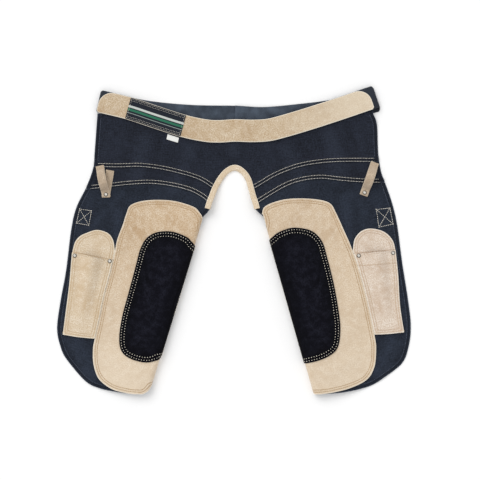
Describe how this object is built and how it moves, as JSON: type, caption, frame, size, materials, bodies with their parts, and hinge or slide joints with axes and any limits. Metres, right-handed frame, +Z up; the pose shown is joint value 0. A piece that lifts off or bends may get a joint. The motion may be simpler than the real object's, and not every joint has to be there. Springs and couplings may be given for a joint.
{
  "type": "farrier apron",
  "caption": "Split-leg farrier's apron of dark denim and suede with a belt, knee patches, tool pockets and hammer loops, laid out flat.",
  "frame": {"origin": "on the floor under the middle of the laid-out apron's box", "axes": "+X to the right seen from above, +Y towards the belt, +Z up from the floor"},
  "size_m": [0.7776, 0.6756, 0.0242],
  "materials": {
    "denim": "dark navy denim",
    "webbing": "dark navy webbing",
    "buff_suede": "buff split suede",
    "black_suede": "black split suede",
    "loop_suede": "grey-brown suede",
    "woven_label": "woven label",
    "white_ribbon": "white ribbon",
    "rivet": "antique nickel"
  },
  "bodies": {
    "root": {"waist_yoke": "denim", "hip_band_left": "denim", "hip_band_right": "denim", "leg_left": "denim", "leg_right": "denim", "leg_panel_left": "buff_suede", "leg_panel_right": "buff_suede", "knee_patch_left": "black_suede", "knee_patch_right": "black_suede", "pocket_back_left": "buff_suede", "pocket_back_right": "buff_suede", "pocket_front_left": "buff_suede", "pocket_front_right": "buff_suede", "belt_strap": "webbing", "belt_facing": "buff_suede", "label_patch": "woven_label", "size_tab": "white_ribbon", "crotch_binding": "buff_suede", "hammer_loop_left": "loop_suede", "hammer_loop_right": "loop_suede", "rivet_loop_left": "rivet", "rivet_loop_right": "rivet", "rivet_pocket_left_outer": "rivet", "rivet_pocket_left_inner": "rivet", "rivet_pocket_right_inner": "rivet", "rivet_pocket_right_outer": "rivet"}
  },
  "joints": []
}
